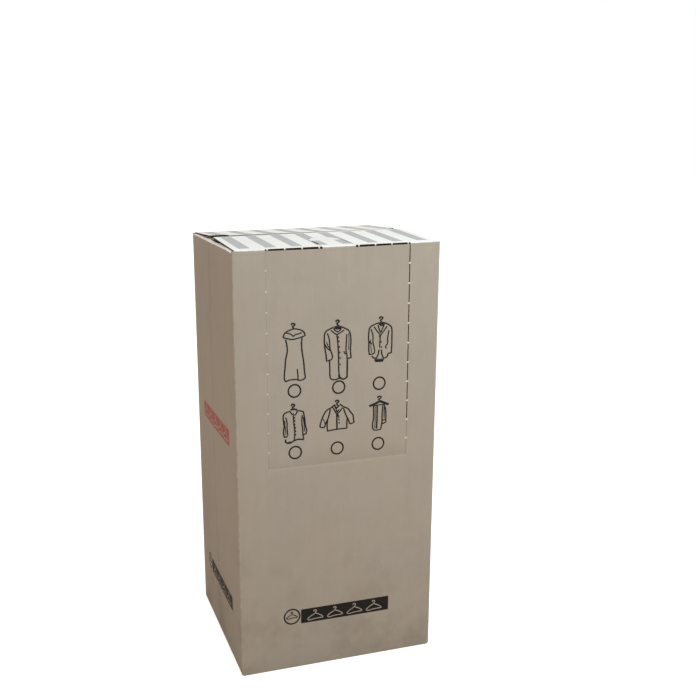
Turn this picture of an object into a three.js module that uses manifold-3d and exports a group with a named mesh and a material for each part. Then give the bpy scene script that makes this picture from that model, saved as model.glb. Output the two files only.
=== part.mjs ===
// Wardrobe moving box: a tall carton of single-wall corrugated board, folded from one sheet,
// with a tear-out front door held shut by perforations, two outer top flaps that swing on their
// creases, short inner side flaps, a tucked bottom, and a bent steel rail for clothes hangers.
// Millimetres, +Z up. The origin is the centre of the base; the door is on the -Y side.
import * as THREE from 'three';
import * as BufferGeometryUtils from 'three/addons/utils/BufferGeometryUtils.js';
import Module from 'manifold-3d';

const wasm = await Module();
wasm.setup();

// Sheet and carton
const WIDTH = 600; // along X, across the door
const DEPTH = 517; // along Y
const HEIGHT = 1255; // floor to the creases of the front and rear walls
const BOARD = 4; // thickness of the corrugated board
const FOLD_RADIUS = 5; // outside radius of a crease, bottom, corner or side flap
const INSIDE_RADIUS = 1; // inside radius of the same creases
const LAYER_GAP = 0.3; // air between flaps that lie on each other
const CREASE_STEPS = 4; // straight pieces in each quarter round
const GLUE_TAB_WIDTH = 38; // glued lap inside the rear left corner
const GLUE_TAB_END_GAP = 14; // the lap stops this far from the folds above and below

// Outer top flaps
const CREASE_GAP = 0.4; // air in the mitred crease, so that the flap can swing
const TOP_CREASE_RADIUS = 3; // outside radius of the front and rear top creases
const SEAM_GAP = 2; // between the free edges of the two flaps
const FLAP_TILT = 2.4; // degrees by which the creases hold the shut flaps up
const FLAP_ROOT_INSET = 8; // from the side wall's outside to the flap's edge, at the crease
const FLAP_END_INSET = 14; // the same at the free edge
const REAR_NOTCH_LEFT = 44; // width of the cut-out in the rear flap's left corner
const REAR_NOTCH_RIGHT = 18; // width of the one in its right corner
const REAR_NOTCH_DEPTH = 48;

// Side top flaps
const SIDE_FLAP_LENGTH = 150;
const SIDE_FLAP_CLEARANCE = 3; // to the inside of the front and rear walls
const SIDE_FLAP_TAPER = 5; // more clearance at the free edge
const RAIL_SLOT_WIDTH = 96; // cut-out along the side flap's crease, for the rail
const RAIL_SLOT_REACH = 57; // how far that cut-out runs into the flap

// Door
const DOOR_WIDTH = 416;
const DOOR_HEIGHT = 616.5; // from the top creases down to the door's bottom crease
const NICK_PITCH = 56.7; // between the uncut nicks of a side perforation
const NICK_LENGTH = 3.2;
const LEFT_SLIT = 0.8; // width of the cut, tight on the left
const RIGHT_SLIT = 2.2; // and sprung open on the right
const TIGHT_RIGHT_SLITS = 2; // the lowest cuts on the right have stayed tight
const DOOR_CREASE_WIDTH = 3;
const DOOR_CREASE_DEPTH = 0.5;
const TOP_NICK_PITCH = 48.4; // nicks along the door's top edge
const TOP_NICK_LENGTH = 3.6;
const TOP_NICK_START = 9; // from the tongue's side to the first nick's centre
const TOP_CUT_DROP = 3; // the door's cut top edge lies this far under the flap
const ROOT_CUT_BACK = 3; // the flap's cut root lies this far behind the door's face

// Tongue of the door, cut out of the front top flap
const TONGUE_WIDTH = 96;
const TONGUE_LENGTH = 168; // from the crease to the end of the arch
const TONGUE_ARCH = 60; // height of the arch at its end
const TONGUE_SLIT = 1.2;
const TONGUE_NICK = 4;
const TONGUE_FINGER_GAP = 4; // the left side gapes here
const TONGUE_FINGER_START = 46; // from the crease
const TONGUE_FINGER_LENGTH = 54;
const ARCH_STEPS = 12;

// Bottom flaps
const BOTTOM_SIDE_LENGTH = 150; // inner flaps, from the left and right walls
const BOTTOM_INSET = 5; // from the wall's outside to a bottom flap's edge
const BOTTOM_TAPER = 6; // inner flaps draw in by this much at their free edge
const BOTTOM_SEAM = 2;
const TUCK_WIDTH = 160; // tongue of the front bottom flap, tucked over the rear one
const TUCK_LENGTH = 60;
const TUCK_RAMP = 14; // over which it climbs through the rear flap's recess
const TUCK_CLEARANCE = 2;

// Hanger rail
const STEEL = 1.5; // sheet thickness
const RAIL_WIDTH = 22;
const RAIL_DROP = 40; // from the side wall's cut edge down to the rail's top
const RAIL_FLANGE = 13; // depth of its turned-down sides
const RAIL_WALL_CLEARANCE = 0.8; // to the inside of the side wall
const RAIL_BEND = 3; // outside radius of its bends
const RAIL_SEAT_GAP = 0.3;

// Places that follow from the sizes above
const halfWidth = WIDTH / 2;
const halfDepth = DEPTH / 2;
const innerHalfWidth = halfWidth - BOARD;
const innerHalfDepth = halfDepth - BOARD;
const sideFlapTop = HEIGHT - BOARD - LAYER_GAP; // upper face of the side top flaps
const sideWallTop = sideFlapTop - FOLD_RADIUS; // where the side walls start to fold in
const cornerTop = HEIGHT - FOLD_RADIUS;
const innerBottom = BOARD + LAYER_GAP; // under face of the inner bottom flaps
const flapLength = halfDepth - SEAM_GAP / 2;
const doorHalf = DOOR_WIDTH / 2;
const doorBottom = HEIGHT - DOOR_HEIGHT;
const tongueHalf = TONGUE_WIDTH / 2;
const railTop = sideWallTop - RAIL_DROP;
const OVER = 20; // how far cutting tools stand clear of what they cut
const EPS = 0.01; // overlap of pieces that are joined

// Solids

function toManifold(geometry) {
  const bare = geometry.clone();
  bare.deleteAttribute('normal');
  bare.deleteAttribute('uv');
  const merged = BufferGeometryUtils.mergeVertices(bare, 1e-4);
  const mesh = new wasm.Mesh({
    numProp: 3,
    vertProperties: Float32Array.from(merged.attributes.position.array),
    triVerts: Uint32Array.from(merged.index.array),
  });
  return new wasm.Manifold(mesh);
}

function toGeometry(solid) {
  const mesh = solid.getMesh();
  const geometry = new THREE.BufferGeometry();
  geometry.setAttribute('position', new THREE.BufferAttribute(Float32Array.from(mesh.vertProperties), 3));
  geometry.setIndex(new THREE.BufferAttribute(Uint32Array.from(mesh.triVerts), 1));
  geometry.computeVertexNormals();
  return geometry;
}

function box(x0, x1, y0, y1, z0, z1) {
  const geometry = new THREE.BoxGeometry(x1 - x0, y1 - y0, z1 - z0);
  geometry.translate((x0 + x1) / 2, (y0 + y1) / 2, (z0 + z1) / 2);
  return toManifold(geometry);
}

function extrude(points, depth) {
  const shape = new THREE.Shape(points.map(([a, b]) => new THREE.Vector2(a, b)));
  return new THREE.ExtrudeGeometry(shape, { depth, bevelEnabled: false, curveSegments: 1 });
}

// An outline in (y, z), drawn out along X between two places.
function alongX(points, x0, x1) {
  const geometry = extrude(points, x1 - x0);
  const turn = new THREE.Matrix4().set(0, 0, 1, x0, 1, 0, 0, 0, 0, 1, 0, 0, 0, 0, 0, 1);
  return toManifold(geometry.applyMatrix4(turn));
}

// An outline in (x, z), drawn out along Y between two places.
function alongY(points, y0, y1) {
  const geometry = extrude(points, y1 - y0);
  const turn = new THREE.Matrix4().set(1, 0, 0, 0, 0, 0, -1, y1, 0, 1, 0, 0, 0, 0, 0, 1);
  return toManifold(geometry.applyMatrix4(turn));
}

// An outline in (x, y), drawn out along Z between two places.
function alongZ(points, z0, z1) {
  const geometry = extrude(points, z1 - z0);
  geometry.translate(0, 0, z0);
  return toManifold(geometry);
}

function joined(solids) {
  return solids.reduce((whole, next) => whole.add(next));
}

function without(solid, cutters) {
  return cutters.reduce((rest, cutter) => rest.subtract(cutter), solid);
}

// Points of an arc about (cx, cy), from one angle to another, in degrees.
function arc(cx, cy, radius, from, to, steps = CREASE_STEPS) {
  return Array.from({ length: steps + 1 }, (_, i) => {
    const angle = THREE.MathUtils.degToRad(from + ((to - from) * i) / steps);
    return [cx + radius * Math.cos(angle), cy + radius * Math.sin(angle)];
  });
}

function mirrored(points, sign) {
  return sign > 0 ? points : points.map(([a, b]) => [-a, b]).reverse();
}

// Carton walls

function roundedOutline(halfX, halfY, radius) {
  return [
    ...arc(halfX - radius, halfY - radius, radius, 0, 90),
    ...arc(radius - halfX, halfY - radius, radius, 90, 180),
    ...arc(radius - halfX, radius - halfY, radius, 180, 270),
    ...arc(halfX - radius, radius - halfY, radius, 270, 360),
  ];
}

// The four walls as one tube, with its rounded vertical corners.
function wallTube() {
  const outside = alongZ(roundedOutline(halfWidth, halfDepth, FOLD_RADIUS), FOLD_RADIUS, cornerTop);
  const inside = alongZ(roundedOutline(innerHalfWidth, innerHalfDepth, INSIDE_RADIUS), -OVER, HEIGHT + OVER);
  const sideReach = halfDepth - FOLD_RADIUS;
  const sideEnds = [1, -1].flatMap((side) => {
    const x0 = side > 0 ? innerHalfWidth - FOLD_RADIUS : -halfWidth - OVER;
    const x1 = side > 0 ? halfWidth + OVER : FOLD_RADIUS - innerHalfWidth;
    return [
      box(x0, x1, -sideReach, sideReach, sideWallTop, HEIGHT + OVER),
      box(x0, x1, -sideReach, sideReach, -OVER, innerBottom + FOLD_RADIUS),
    ];
  });
  return without(outside.subtract(inside), sideEnds);
}

// Section of a wall that folds into a flap whose outer face lies at level, reaching inwards to end.
// up is 1 for a flap at the top and -1 for one at the bottom; wall is the wall's outer face.
function foldSection(wall, level, end, up) {
  const outer = arc(wall - FOLD_RADIUS, 0, FOLD_RADIUS, 0, 90);
  const inner = arc(wall - BOARD - INSIDE_RADIUS, 0, INSIDE_RADIUS, 90, 0);
  const outerBend = outer.map(([a, h]) => [a, level + up * (h - FOLD_RADIUS)]);
  const innerBend = inner.map(([a, h]) => [a, level - up * BOARD + up * (h - INSIDE_RADIUS)]);
  const straight = level - up * (FOLD_RADIUS + EPS);
  const flapEnd = [[end, level], [end, level - up * BOARD]];
  const points = [[wall, straight], ...outerBend, ...flapEnd, ...innerBend, [wall - BOARD, straight]];
  return up > 0 ? points : points.reverse();
}

// A tapering flap's outline in plan, along its own direction: root half-width, then end half-width.
function taperedPlan(root, end, rootHalf, endHalf) {
  return [[root, -rootHalf], [root, rootHalf], [end, endHalf], [end, -endHalf]];
}

function sideTopFlap(side) {
  const rootHalf = innerHalfDepth - SIDE_FLAP_CLEARANCE;
  const end = halfWidth - SIDE_FLAP_LENGTH;
  const section = mirrored(foldSection(halfWidth, sideFlapTop, end, 1), side);
  const endHalf = rootHalf - SIDE_FLAP_TAPER;
  const plan = mirrored(taperedPlan(halfWidth + OVER, end - OVER, rootHalf, endHalf).reverse(), side);
  const slot = RAIL_SLOT_WIDTH / 2;
  const slotEnd = halfWidth - RAIL_SLOT_REACH;
  const slotCut = side > 0
    ? box(slotEnd, halfWidth + OVER, -slot, slot, sideWallTop, HEIGHT)
    : box(-halfWidth - OVER, -slotEnd, -slot, slot, sideWallTop, HEIGHT);
  return alongY(section, -rootHalf, rootHalf)
    .intersect(alongZ(plan, 0, HEIGHT + OVER))
    .subtract(slotCut);
}

function sideBottomFlap(side) {
  const rootHalf = halfDepth - FOLD_RADIUS;
  const endHalf = innerHalfDepth - BOTTOM_TAPER;
  const end = halfWidth - BOTTOM_SIDE_LENGTH;
  const section = mirrored(foldSection(halfWidth, innerBottom, end, -1), side);
  const bend = halfWidth - BOARD - INSIDE_RADIUS;
  const flapPlan = [
    [halfWidth + OVER, rootHalf], [bend, rootHalf], [bend, endHalf], [end, endHalf - BOTTOM_TAPER],
    [end, BOTTOM_TAPER - endHalf], [bend, -endHalf], [bend, -rootHalf], [halfWidth + OVER, -rootHalf],
  ];
  return alongY(section, -rootHalf, rootHalf).intersect(alongZ(mirrored(flapPlan, side), -OVER, HEIGHT));
}

// Outer bottom flaps. The front one carries a tongue that climbs through a recess in the rear one.
function frontBottomFlap() {
  const halfSpan = halfWidth - BOTTOM_INSET;
  const seam = BOTTOM_SEAM / 2;
  const section = foldSection(halfDepth, 0, seam, -1).map(([a, b]) => [-a, b]).reverse();
  const lift = innerBottom;
  const tuck = [
    [-seam - BOARD, 0], [-seam, 0], [TUCK_RAMP, lift], [TUCK_LENGTH, lift],
    [TUCK_LENGTH, lift + BOARD], [TUCK_RAMP - BOARD / 2, lift + BOARD], [-seam - BOARD, BOARD],
  ];
  const tongue = alongX(tuck, -TUCK_WIDTH / 2, TUCK_WIDTH / 2);
  return alongX(section, -halfSpan, halfSpan).add(tongue);
}

function rearBottomFlap() {
  const halfSpan = halfWidth - BOTTOM_INSET;
  const seam = BOTTOM_SEAM / 2;
  const recess = TUCK_WIDTH / 2 + TUCK_CLEARANCE;
  const section = foldSection(halfDepth, 0, seam, -1);
  const cut = box(-recess, recess, -OVER, TUCK_RAMP + TUCK_CLEARANCE, -OVER, BOARD + EPS);
  return alongX(section, -halfSpan, halfSpan).subtract(cut);
}

// Top of the front or rear wall above the tube, mitred where its flap folds. facing is -1 for the front.
function wallCrease(facing) {
  const halfSpan = halfWidth - FOLD_RADIUS;
  const top = HEIGHT - CREASE_GAP;
  const start = sideWallTop - OVER;
  const points = [
    [halfDepth, start],
    ...arc(halfDepth - TOP_CREASE_RADIUS, top - TOP_CREASE_RADIUS, TOP_CREASE_RADIUS, 0, 45, 2),
    [innerHalfDepth, top - BOARD],
    [innerHalfDepth, start],
  ];
  return alongX(mirrored(points, facing), -halfSpan, halfSpan);
}

function glueTab() {
  const z0 = innerBottom + FOLD_RADIUS + GLUE_TAB_END_GAP;
  const z1 = sideWallTop - GLUE_TAB_END_GAP;
  const x0 = -innerHalfWidth - EPS;
  return box(x0, BOARD - innerHalfWidth, innerHalfDepth - GLUE_TAB_WIDTH, innerHalfDepth + EPS, z0, z1);
}

// Door

const nickCount = Math.ceil(DOOR_HEIGHT / NICK_PITCH) - 1;
const nickHeights = Array.from({ length: nickCount }, (_, i) => HEIGHT - (i + 1) * NICK_PITCH);
const topNickCount = 1 + Math.floor((doorHalf - tongueHalf - TOP_NICK_START) / TOP_NICK_PITCH);
const firstTopNick = tongueHalf + TOP_NICK_START;
const topNicks = Array.from({ length: topNickCount }, (_, i) => firstTopNick + i * TOP_NICK_PITCH);

// Cuts down one side of the door, between the nicks.
function doorSideSlits(side) {
  const tops = [HEIGHT + OVER, ...nickHeights.map((z) => z - NICK_LENGTH / 2)];
  const ends = [...nickHeights.map((z) => z + NICK_LENGTH / 2), doorBottom];
  const stretches = tops.map((top, i) => [ends[i], top]).filter(([end, top]) => top > end);
  return stretches.map(([end, top], i) => {
    const tight = side < 0 || i > nickCount - TIGHT_RIGHT_SLITS;
    const half = (tight ? LEFT_SLIT : RIGHT_SLIT) / 2;
    const x = side * doorHalf;
    return box(x - half, x + half, -halfDepth - OVER, -innerHalfDepth + OVER / 4, end, top);
  });
}

// Stretches of the door's top edge that are cut: from the tongue out to the door's corner, less the nicks.
function topCuts() {
  const half = TOP_NICK_LENGTH / 2;
  const starts = [tongueHalf, ...topNicks.map((x) => x + half)];
  const ends = [...topNicks.map((x) => x - half), doorHalf + RIGHT_SLIT / 2];
  const stretches = starts.map((start, i) => [start, ends[i]]).filter(([a, b]) => b > a);
  return stretches.flatMap(([a, b]) => [[a, b], [-b, -a]]);
}

function doorCrease() {
  const half = DOOR_CREASE_WIDTH / 2;
  const mouth = -halfDepth - (DOOR_CREASE_DEPTH * OVER) / half;
  const groove = [
    [mouth, doorBottom - half - OVER],
    [DOOR_CREASE_DEPTH - halfDepth, doorBottom],
    [mouth, doorBottom + half + OVER],
  ];
  return alongX(groove, -doorHalf, doorHalf);
}

// Carton: one folded sheet

function carton() {
  const body = joined([
    wallTube(),
    wallCrease(-1),
    wallCrease(1),
    sideTopFlap(1),
    sideTopFlap(-1),
    sideBottomFlap(1),
    sideBottomFlap(-1),
    frontBottomFlap(),
    rearBottomFlap(),
    glueTab(),
  ]);
  const edge = HEIGHT - BOARD - TOP_CUT_DROP;
  const front = -halfDepth - OVER;
  const back = OVER / 4 - innerHalfDepth;
  const topEdges = topCuts().map(([x0, x1]) => box(x0, x1, front, back, edge, HEIGHT + OVER));
  return without(body, [...doorSideSlits(1), ...doorSideSlits(-1), ...topEdges, doorCrease()]);
}

// Outer top flaps, modelled flat and shut; the front one is on the -Y side.

function flapBlank(facing) {
  const rootHalf = halfWidth - FLAP_ROOT_INSET;
  const endHalf = halfWidth - FLAP_END_INSET;
  const end = halfDepth - flapLength;
  const section = [
    [end, HEIGHT - BOARD],
    [innerHalfDepth, HEIGHT - BOARD],
    ...arc(halfDepth - TOP_CREASE_RADIUS, HEIGHT - TOP_CREASE_RADIUS, TOP_CREASE_RADIUS, 45, 90, 2),
    [end, HEIGHT],
  ];
  const plan = [[-rootHalf, halfDepth], [-endHalf, end], [endHalf, end], [rootHalf, halfDepth]];
  const outline = facing > 0 ? plan : plan.map(([x, y]) => [x, -y]).reverse();
  const sheet = alongX(mirrored(section, facing), -halfWidth, halfWidth);
  return sheet.intersect(alongZ(outline, 0, HEIGHT + OVER));
}

// The tongue's outline, as a thin band to be cut out: two straight sides and an arch, less its nicks.
function tongueCuts() {
  const root = -halfDepth;
  const spring = root + TONGUE_LENGTH - TONGUE_ARCH;
  const z0 = HEIGHT - BOARD - OVER;
  const z1 = HEIGHT + OVER;
  const rise = (half, height) => Array.from({ length: ARCH_STEPS + 1 }, (_, i) => {
    const angle = (Math.PI * i) / ARCH_STEPS;
    return [half * Math.cos(angle), spring + height * Math.sin(angle)];
  });
  const outer = [[tongueHalf, root - OVER], ...rise(tongueHalf, TONGUE_ARCH), [-tongueHalf, root - OVER]];
  const innerHalf = tongueHalf - TONGUE_SLIT;
  const innerRise = rise(innerHalf, TONGUE_ARCH - TONGUE_SLIT);
  const inner = [[innerHalf, root - OVER], ...innerRise, [-innerHalf, root - OVER]];
  const apexNick = box(-TONGUE_NICK / 2, TONGUE_NICK / 2, spring, OVER, z0, z1);
  const sideNick = box(-halfWidth, halfWidth, spring - TONGUE_NICK, spring, z0, z1);
  const band = alongZ(outer, z0, z1).subtract(alongZ(inner, z0, z1)).subtract(apexNick).subtract(sideNick);
  const gapStart = root + TONGUE_FINGER_START;
  const gapEnd = gapStart + TONGUE_FINGER_LENGTH;
  const finger = box(-tongueHalf, TONGUE_FINGER_GAP - tongueHalf, gapStart, gapEnd, z0, z1);
  return [band, finger.subtract(sideNick)];
}

function frontTopFlap() {
  const back = ROOT_CUT_BACK - halfDepth;
  const z0 = HEIGHT - BOARD - OVER;
  const z1 = HEIGHT + OVER;
  const rootCuts = topCuts().map(([x0, x1]) => box(x0, x1, -halfDepth - OVER, back, z0, z1));
  return without(flapBlank(-1), [...rootCuts, ...tongueCuts()]);
}

function rearTopFlap() {
  const z0 = HEIGHT - BOARD - OVER;
  const z1 = HEIGHT + OVER;
  const leftNotch = REAR_NOTCH_LEFT + FLAP_END_INSET - halfWidth;
  const rightNotch = halfWidth - FLAP_END_INSET - REAR_NOTCH_RIGHT;
  const notches = [
    box(-halfWidth - OVER, leftNotch, -OVER, REAR_NOTCH_DEPTH, z0, z1),
    box(rightNotch, halfWidth + OVER, -OVER, REAR_NOTCH_DEPTH, z0, z1),
  ];
  return without(flapBlank(1), notches);
}

// Hanger rail: one strip of sheet steel, bent at both ends to sit on the side walls, with its long
// sides turned down to stiffen it.

function hangerRail() {
  const seat = sideWallTop + RAIL_SEAT_GAP;
  const riser = innerHalfWidth - RAIL_WALL_CLEARANCE;
  const lugTop = seat + STEEL;
  const inner = RAIL_BEND - STEEL;
  const rightEnd = [
    ...arc(riser - RAIL_BEND, railTop - STEEL + RAIL_BEND, RAIL_BEND, -90, 0),
    ...arc(riser + inner, seat - inner, inner, 180, 90),
    [halfWidth, seat],
    [halfWidth, lugTop],
    ...arc(riser + inner, lugTop - RAIL_BEND, RAIL_BEND, 90, 180),
    ...arc(riser - RAIL_BEND, railTop + inner, inner, 0, -90),
  ];
  const leftEnd = rightEnd.map(([x, z]) => [-x, z]).reverse();
  const strip = alongY([...rightEnd, ...leftEnd], -RAIL_WIDTH / 2, RAIL_WIDTH / 2);
  const flangeReach = riser - RAIL_BEND - STEEL;
  const flanges = [1, -1].map((side) => {
    const y = side * (RAIL_WIDTH - STEEL) / 2;
    const chamfer = RAIL_FLANGE - STEEL;
    const outline = [
      [-flangeReach, railTop - EPS], [chamfer - flangeReach, railTop - RAIL_FLANGE],
      [flangeReach - chamfer, railTop - RAIL_FLANGE], [flangeReach, railTop - EPS],
    ];
    return alongY(outline, y - STEEL / 2, y + STEEL / 2);
  });
  return joined([strip, ...flanges]);
}

// Materials

const wallBoard = new THREE.MeshStandardMaterial({ color: 0xa3978a, roughness: 0.85, metalness: 0 });
const flapBoard = new THREE.MeshStandardMaterial({ color: 0xe8e8e4, roughness: 0.8, metalness: 0 });
const zincSteel = new THREE.MeshStandardMaterial({ color: 0xa9adb0, roughness: 0.4, metalness: 0.9 });

// Assembly

function named(name, solid, material) {
  const mesh = new THREE.Mesh(toGeometry(solid), material);
  mesh.name = name;
  return mesh;
}

// A flap turns about the outer edge of its crease, and its mesh is shifted so that this is its origin.
function hungFlap(name, solid, facing) {
  const mesh = named(name, solid, flapBoard);
  mesh.geometry.translate(0, -facing * halfDepth, -HEIGHT);
  mesh.position.set(0, facing * halfDepth, HEIGHT);
  mesh.rotation.x = -facing * THREE.MathUtils.degToRad(FLAP_TILT);
  return mesh;
}

const wardrobeBox = new THREE.Group();
wardrobeBox.add(
  named('carton', carton(), wallBoard),
  hungFlap('front_top_flap', frontTopFlap(), -1),
  hungFlap('rear_top_flap', rearTopFlap(), 1),
  named('hanger_rail', hangerRail(), zincSteel),
);

export default wardrobeBox;
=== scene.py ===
import math

import bpy
from mathutils import Matrix, Vector


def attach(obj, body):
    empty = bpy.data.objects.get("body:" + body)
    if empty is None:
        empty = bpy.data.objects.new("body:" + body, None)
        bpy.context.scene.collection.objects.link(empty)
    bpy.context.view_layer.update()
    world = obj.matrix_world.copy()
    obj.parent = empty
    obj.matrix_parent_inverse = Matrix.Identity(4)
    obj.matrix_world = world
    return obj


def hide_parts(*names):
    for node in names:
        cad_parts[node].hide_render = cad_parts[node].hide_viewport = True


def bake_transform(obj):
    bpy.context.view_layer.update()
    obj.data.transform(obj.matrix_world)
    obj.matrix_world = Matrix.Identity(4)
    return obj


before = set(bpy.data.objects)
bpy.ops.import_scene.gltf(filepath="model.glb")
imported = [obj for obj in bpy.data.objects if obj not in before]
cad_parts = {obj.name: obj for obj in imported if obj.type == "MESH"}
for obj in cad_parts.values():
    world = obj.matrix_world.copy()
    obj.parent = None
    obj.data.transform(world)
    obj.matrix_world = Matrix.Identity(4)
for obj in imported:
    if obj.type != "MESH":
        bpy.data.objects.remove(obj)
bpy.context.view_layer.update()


# Carton sheet.
# One die-cut sheet of single-wall board, white outside with the walls printed brown, plain brown
# inside, folded to walls, bottom flaps and side top flaps. Its walls bulge a little, being empty.

WIDTH, DEPTH, HEIGHT = 0.600, 0.517, 1.255
BOARD = 0.004
LINER = 0.0004
FLUTE_PITCH = 0.0079
FOLD_RADIUS = 0.005
LAYER_GAP = 0.0003
SIDE_FLAP = 0.150
SIDE_FLAP_TOP = HEIGHT - BOARD - LAYER_GAP
RAIL_SLOT = 0.096
SLOT_REACH = 0.057
DOOR_HALF = 0.208
DOOR_BOTTOM = 0.6385
DOOR_CUT_DROP = 0.003
TONGUE_HALF = 0.048
EDGE_DEPTH = 0.006
NARROW_EDGE_DEPTH = 0.0032
WALL_BULGE = 0.0024
DOOR_BULGE = 0.0022
DOOR_SAG = 0.0012
DOOR_TOP_RISE = 0.0022
DOOR_TOP_FROM = 1.242
FOLDS_FROM = 1.2459
POST_RISE, POST_TOP = 0.0035, 1.2537
SIDE_FLAP_RISE = 0.0025
LEFT_SLIT_SHARE, RIGHT_SLIT_SHARE = 0.25, 1.3
WIDE_SLIT_FROM = 0.75
NEAR = 0.00006
scene = bpy.context.scene


def only(piece):
    bpy.ops.object.select_all(action="DESELECT")
    piece.select_set(True)
    bpy.context.view_layer.objects.active = piece


def apply_modifiers(piece):
    only(piece)
    for modifier in list(piece.modifiers):
        bpy.ops.object.modifier_apply(modifier=modifier.name)


def in_edit_mode(piece):
    only(piece)
    bpy.ops.object.mode_set(mode="EDIT")
    bpy.ops.mesh.select_all(action="SELECT")


def copy_of_node(node, name):
    """A merged copy of a CAD solid's mesh, with its flat faces whole again."""
    piece = bpy.data.objects.new(name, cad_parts[node].data.copy())
    scene.collection.objects.link(piece)
    piece.data.materials.clear()
    in_edit_mode(piece)
    bpy.ops.mesh.customdata_custom_splitnormals_clear()
    bpy.ops.mesh.remove_doubles(threshold=0.00001)
    bpy.ops.mesh.dissolve_limited(angle_limit=math.radians(0.4))
    bpy.ops.object.mode_set(mode="OBJECT")
    return piece


def joined(name, pieces):
    bpy.ops.object.select_all(action="DESELECT")
    for piece in pieces:
        piece.select_set(True)
    bpy.context.view_layer.objects.active = pieces[0]
    if len(pieces) > 1:
        bpy.ops.object.join()
    pieces[0].name = name
    pieces[0].data.name = name
    return pieces[0]


def edge_place(centre, along, inward):
    """A cut edge's own axes: X along it, Y into the board, Z through the board's thickness."""
    x, y = Vector(along).normalized(), Vector(inward).normalized()
    place = Matrix((x, y, x.cross(y))).transposed().to_4x4()
    place.translation = Vector(centre)
    return place


def hollow_between_liners(centre, along, inward, length, depth=EDGE_DEPTH):
    """The space between the two liners at a cut edge, as a block to take away."""
    bpy.ops.mesh.primitive_cube_add(size=1)
    block = bpy.context.object
    block.data.transform(Matrix.Translation((0, depth / 2 - 0.0005, 0))
                         @ Matrix.Diagonal((length, depth + 0.001, BOARD - 2 * LINER, 1)))
    block.data.transform(edge_place(centre, along, inward))
    return block


def fluting_strip(centre, along, inward, length):
    """The wavy middle paper, seen end on where the board is cut across its flutes."""
    waves = max(1, round(length / FLUTE_PITCH))
    bpy.ops.mesh.primitive_grid_add(x_subdivisions=8 * waves, y_subdivisions=1, size=1)
    strip = bpy.context.object
    swing = (BOARD - 2 * LINER) / 2 - 0.00013
    for vertex in strip.data.vertices:
        phase = 2 * math.pi * waves * vertex.co.x
        depth = 0.00015 + (vertex.co.y + 0.5) * EDGE_DEPTH
        vertex.co = (vertex.co.x * length, depth, swing * math.sin(phase))
    strip.data.transform(edge_place(centre, along, inward))
    paper = strip.modifiers.new("paper", "SOLIDIFY")
    paper.thickness = 0.00026
    paper.offset = 0
    apply_modifiers(strip)
    return strip


def open_edges(piece, across, beside, name):
    """Hollows a piece's cut edges between the liners, and fills those across the flutes with fluting.

    Each edge is its centre, the way along it, the way into the board, and its length."""
    blocks = [hollow_between_liners(*edge) for edge in across]
    blocks += [hollow_between_liners(*edge, NARROW_EDGE_DEPTH) for edge in beside]
    strips = [fluting_strip(*edge) for edge in across]
    cutter = joined("hollows", blocks)
    hollow = piece.modifiers.new("hollow", "BOOLEAN")
    hollow.operation = "DIFFERENCE"
    hollow.solver = "EXACT"
    hollow.object = cutter
    apply_modifiers(piece)
    bpy.data.objects.remove(cutter)
    return joined(name, strips)


def bulged(co):
    """Where a point goes when the walls and the loose door belly out and the top springs up a little."""
    x, y, z = co
    rise = math.sin(math.pi * min(max(z / HEIGHT, 0), 1))
    on_front = y < -0.25
    at_corner = abs(y) > DEPTH / 2 - FOLD_RADIUS
    over_door = TONGUE_HALF - 0.0005 < abs(x) < DOOR_HALF + 0.0003
    if on_front and over_door and DOOR_TOP_FROM < z < DOOR_TOP_FROM + 0.0066:
        z += DOOR_TOP_RISE * (z - DOOR_TOP_FROM) / 0.006
    if z > FOLDS_FROM and abs(x) > 0.2921 and at_corner:
        z = max(z, min(z + POST_RISE, POST_TOP))
    elif z > FOLDS_FROM and abs(x) > WIDTH / 2 - SIDE_FLAP - 0.001 and not at_corner:
        z += min(SIDE_FLAP_RISE, 0.04 * (DEPTH / 2 - abs(y)) + 0.0001)
    if on_front and z > DOOR_BOTTOM:
        slit = abs(x) - DOOR_HALF
        if x < 0 and abs(slit) < 0.0006:
            x = -DOOR_HALF - slit * LEFT_SLIT_SHARE
        elif x > 0 and abs(slit) < 0.0015 and z > WIDE_SLIT_FROM:
            x = DOOR_HALF + slit * RIGHT_SLIT_SHARE
    if abs(y) > DEPTH / 2 - 0.006 and abs(x) < WIDTH / 2 - BOARD:
        side = 1 if y > 0 else -1
        y += side * WALL_BULGE * rise * math.cos(math.pi * x / WIDTH)
        if side < 0 and abs(x) < DOOR_HALF and z > DOOR_BOTTOM:
            share = (z - DOOR_BOTTOM) / (HEIGHT - DOOR_BOTTOM)
            middle = math.cos(math.pi * x / (2 * DOOR_HALF))
            y -= DOOR_BULGE * math.sin(math.pi * share) * middle
            z -= DOOR_SAG * max(0, share - 0.9) * 10 * middle
    elif abs(x) > WIDTH / 2 - 0.006 and abs(y) < DEPTH / 2 - BOARD:
        side = 1 if x > 0 else -1
        x += side * WALL_BULGE * rise * math.cos(math.pi * y / DEPTH)
    return Vector((x, y, z))


def belly_out(piece):
    for vertex in piece.data.vertices:
        vertex.co = bulged(vertex.co)


def slice_at(piece, point, normal):
    in_edit_mode(piece)
    bpy.ops.mesh.bisect(plane_co=point, plane_no=normal)
    bpy.ops.object.mode_set(mode="OBJECT")


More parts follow.
